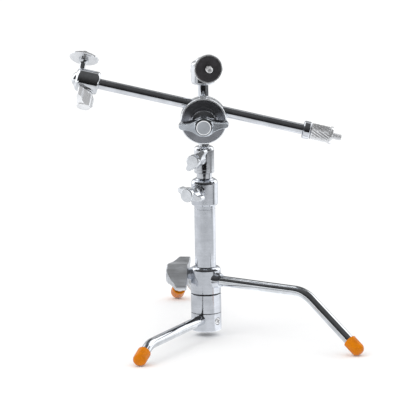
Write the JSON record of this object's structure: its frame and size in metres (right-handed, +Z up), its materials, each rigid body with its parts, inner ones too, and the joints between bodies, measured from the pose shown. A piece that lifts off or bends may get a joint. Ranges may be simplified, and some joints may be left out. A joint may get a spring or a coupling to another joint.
{
  "type": "c stand",
  "caption": "Miniature tabletop C-stand with swivelling bent legs, telescoping column, grip head, clamped cross arm and two small ball heads.",
  "frame": {"origin": "centre of the flat underside of the base, on the column axis", "axes": "+Z up the column, -Y the side the grip head handle faces, +X the side of the arm's knurled grip"},
  "size_m": [0.2726, 0.3214, 0.2773],
  "materials": {
    "polished_chrome": "mirror polished plate",
    "satin_chrome": "satin plate",
    "black_rubber": "fine-grained rubber",
    "orange_rubber": "smooth moulded rubber",
    "nylon": "moulded nylon",
    "brass": "turned",
    "zinc_steel": "bright zinc plate",
    "spring_steel": "drawn wire",
    "black_plastic": "moulded"
  },
  "bodies": {
    "base": {"base_tube": "satin_chrome", "base_end_plug": "black_plastic", "ring_fixing_screw": "zinc_steel", "bottom_leg_ring": "satin_chrome", "front_leg": "polished_chrome", "front_foot": "orange_rubber", "lower_friction_washer": "nylon", "lower_lock_collar": "polished_chrome", "lower_guide_bush": "nylon"},
    "middle_leg": {"middle_leg_ring": "satin_chrome", "back_leg": "polished_chrome", "back_foot": "orange_rubber", "upper_friction_washer": "nylon"},
    "collar_liner": {"collar_liner": "nylon"},
    "right_leg": {"sliding_leg_collar": "polished_chrome", "right_leg": "polished_chrome", "right_foot": "orange_rubber"},
    "riser_slider": {"riser_foot_bush": "nylon"},
    "riser": {"riser_tube": "polished_chrome", "upper_lock_collar": "polished_chrome", "upper_guide_bush": "nylon"},
    "rod_slider": {"rod_foot_bush": "nylon"},
    "rod": {"top_rod": "polished_chrome"},
    "head": {"head_receiver": "polished_chrome", "pivot_bolt": "zinc_steel"},
    "jaws": {"rear_jaw_disc": "polished_chrome", "jaw_spring": "spring_steel"},
    "front_jaw": {"front_jaw_disc": "polished_chrome", "thrust_washer": "zinc_steel"},
    "handle": {"head_handle": "polished_chrome", "handle_cap": "polished_chrome"},
    "arm": {"arm_rod": "polished_chrome", "arm_end_ring": "polished_chrome"},
    "grip": {"knurled_grip": "polished_chrome", "arm_end_stud": "polished_chrome"},
    "base_lock_pad": {"base_lock_pad": "brass"},
    "base_lock_knob": {"base_lock_knob": "polished_chrome"},
    "lower_lock_pad": {"lower_lock_pad": "brass"},
    "lower_lock_knob": {"lower_lock_knob": "polished_chrome"},
    "upper_lock_pad": {"upper_lock_pad": "brass"},
    "upper_lock_knob": {"upper_lock_knob": "polished_chrome"},
    "receiver_lock_pad": {"receiver_lock_pad": "brass"},
    "receiver_lock_knob": {"receiver_lock_knob": "polished_chrome"},
    "top_head": {"top_head_body": "polished_chrome", "top_head_base_plug": "polished_chrome"},
    "top_head_shoe": {"top_head_brake_shoe": "brass"},
    "top_head_knob": {"top_head_knob": "polished_chrome"},
    "top_head_ball": {"top_head_ball": "polished_chrome"},
    "top_head_platform": {"top_head_platform": "polished_chrome", "top_head_pad": "black_rubber", "top_head_screw": "zinc_steel"},
    "left_head": {"left_head_body": "polished_chrome", "left_head_base_plug": "polished_chrome"},
    "left_head_shoe": {"left_head_brake_shoe": "brass"},
    "left_head_knob": {"left_head_knob": "polished_chrome"},
    "left_head_ball": {"left_head_ball": "polished_chrome"},
    "left_head_platform": {"left_head_platform": "polished_chrome", "left_head_pad": "black_rubber", "left_head_screw": "zinc_steel"}
  },
  "joints": [
    {"name": "middle_leg_swivel", "type": "hinge", "parent": "base", "child": "middle_leg", "pos_m": [0, 0, 0.0261], "axis": [0, 0, 1], "range_deg": [-20, 138]},
    {"name": "collar_slide", "type": "slide", "parent": "base", "child": "collar_liner", "axis": [0, 0, 1], "range_m": [0, 0.045]},
    {"name": "right_leg_swivel", "type": "hinge", "parent": "collar_liner", "child": "right_leg", "pos_m": [0, 0, 0.0485], "axis": [0, 0, 1], "range_deg": [-69, 20]},
    {"name": "base_lock_pad_slide", "type": "slide", "parent": "right_leg", "child": "base_lock_pad", "axis": [-0.9925, 0.1219, 0], "range_m": [0, 0.0015]},
    {"name": "base_lock_knob_turn", "type": "hinge", "parent": "base_lock_pad", "child": "base_lock_knob", "pos_m": [-0.0268, 0.00329, 0.0536], "axis": [-0.9925, 0.1219, 0], "range_deg": [0, 540]},
    {"name": "lower_lock_pad_slide", "type": "slide", "parent": "base", "child": "lower_lock_pad", "axis": [-0.515, -0.8572, 0], "range_m": [0, 0.0015]},
    {"name": "lower_lock_knob_turn", "type": "hinge", "parent": "lower_lock_pad", "child": "lower_lock_knob", "pos_m": [-0.01391, -0.02314, 0.1348], "axis": [-0.515, -0.8572, 0], "range_deg": [0, 540]},
    {"name": "riser_slide", "type": "slide", "parent": "base", "child": "riser_slider", "axis": [0, 0, 1], "range_m": [0, 0.085]},
    {"name": "riser_swivel", "type": "hinge", "parent": "riser_slider", "child": "riser", "pos_m": [0, 0, 0.09], "axis": [0, 0, 1], "continuous": true},
    {"name": "upper_lock_pad_slide", "type": "slide", "parent": "riser", "child": "upper_lock_pad", "axis": [-0.454, -0.891, 0], "range_m": [0, 0.0015]},
    {"name": "upper_lock_knob_turn", "type": "hinge", "parent": "upper_lock_pad", "child": "upper_lock_knob", "pos_m": [-0.00817, -0.01604, 0.1657], "axis": [-0.454, -0.891, 0], "range_deg": [0, 540]},
    {"name": "rod_slide", "type": "slide", "parent": "riser", "child": "rod_slider", "axis": [0, 0, 1], "range_m": [0, 0.09]},
    {"name": "rod_swivel", "type": "hinge", "parent": "rod_slider", "child": "rod", "pos_m": [0, 0, 0.13], "axis": [0, 0, 1], "continuous": true},
    {"name": "head_pan", "type": "hinge", "parent": "rod", "child": "head", "pos_m": [0, 0, 0.2049], "axis": [0, 0, 1], "continuous": true},
    {"name": "receiver_lock_pad_slide", "type": "slide", "parent": "head", "child": "receiver_lock_pad", "axis": [0, 1, 0], "range_m": [0, 0.0015]},
    {"name": "receiver_lock_knob_turn", "type": "hinge", "parent": "receiver_lock_pad", "child": "receiver_lock_knob", "pos_m": [0, 0.018, 0.2049], "axis": [0, 1, 0], "range_deg": [0, 540]},
    {"name": "arm_tilt", "type": "hinge", "parent": "head", "child": "jaws", "pos_m": [0, -0.017, 0.2049], "axis": [0, 1, 0], "range_deg": [-38.6, 31.4]},
    {"name": "front_jaw_slide", "type": "slide", "parent": "jaws", "child": "front_jaw", "axis": [0, -1, 0], "range_m": [0, 0.0015]},
    {"name": "handle_turn", "type": "hinge", "parent": "front_jaw", "child": "handle", "pos_m": [0, -0.047, 0.2049], "axis": [0, -1, 0], "range_deg": [0, 540]},
    {"name": "arm_slide", "type": "slide", "parent": "jaws", "child": "arm", "axis": [0.972, 0, -0.2351], "range_m": [-0.045, 0.045]},
    {"name": "grip_turn", "type": "hinge", "parent": "arm", "child": "grip", "pos_m": [0.10906, -0.017, 0.19086], "axis": [0.972, 0, -0.2351], "continuous": true},
    {"name": "top_head_pan", "type": "hinge", "parent": "rod", "child": "top_head", "pos_m": [0, 0, 0.24543], "axis": [0, 0, 1], "continuous": true},
    {"name": "top_head_shoe_slide", "type": "slide", "parent": "top_head", "child": "top_head_shoe", "axis": [0, 0, -1], "range_m": [0, 0.00025]},
    {"name": "top_head_knob_turn", "type": "hinge", "parent": "top_head", "child": "top_head_knob", "pos_m": [-0.0036, 0.01559, 0.24603], "axis": [-0.225, 0.9744, 0], "range_deg": [0, 180]},
    {"name": "top_head_ball_tilt", "type": "hinge", "parent": "top_head", "child": "top_head_ball", "pos_m": [0, 0, 0.25463], "axis": [-0.9744, -0.225, 0], "range_deg": [0, 118]},
    {"name": "top_head_platform_spin", "type": "hinge", "parent": "top_head_ball", "child": "top_head_platform", "pos_m": [0.00493, -0.02134, 0.25463], "axis": [0.225, -0.9744, 0], "continuous": true},
    {"name": "left_head_pan", "type": "hinge", "parent": "arm", "child": "left_head", "pos_m": [-0.10704, -0.017, 0.24314], "axis": [-0.972, 0, 0.2351], "continuous": true},
    {"name": "left_head_shoe_slide", "type": "slide", "parent": "left_head", "child": "left_head_shoe", "axis": [0.972, 0, -0.2351], "range_m": [0, 0.00025]},
    {"name": "left_head_knob_turn", "type": "hinge", "parent": "left_head", "child": "left_head_knob", "pos_m": [-0.1107, -0.02618, 0.23054], "axis": [-0.1926, -0.5736, -0.7962], "range_deg": [0, 180]},
    {"name": "left_head_ball_tilt", "type": "hinge", "parent": "left_head", "child": "left_head_ball", "pos_m": [-0.11598, -0.017, 0.2453], "axis": [0.1349, -0.8192, 0.5575], "range_deg": [0, 118]},
    {"name": "left_head_platform_spin", "type": "hinge", "parent": "left_head_ball", "child": "left_head_platform", "pos_m": [-0.11176, -0.00444, 0.26274], "axis": [0.1926, 0.5736, 0.7962], "continuous": true}
  ],
  "couplings": [
    {"joint": "base_lock_knob_turn", "follows": "base_lock_pad_slide", "rad_per_m": 6283.2},
    {"joint": "lower_lock_knob_turn", "follows": "lower_lock_pad_slide", "rad_per_m": 6283.2},
    {"joint": "upper_lock_knob_turn", "follows": "upper_lock_pad_slide", "rad_per_m": 6283.2},
    {"joint": "receiver_lock_knob_turn", "follows": "receiver_lock_pad_slide", "rad_per_m": 6283.2},
    {"joint": "handle_turn", "follows": "front_jaw_slide", "rad_per_m": 6283.2},
    {"joint": "top_head_knob_turn", "follows": "top_head_shoe_slide", "rad_per_m": 12566},
    {"joint": "left_head_knob_turn", "follows": "left_head_shoe_slide", "rad_per_m": 12566}
  ]
}
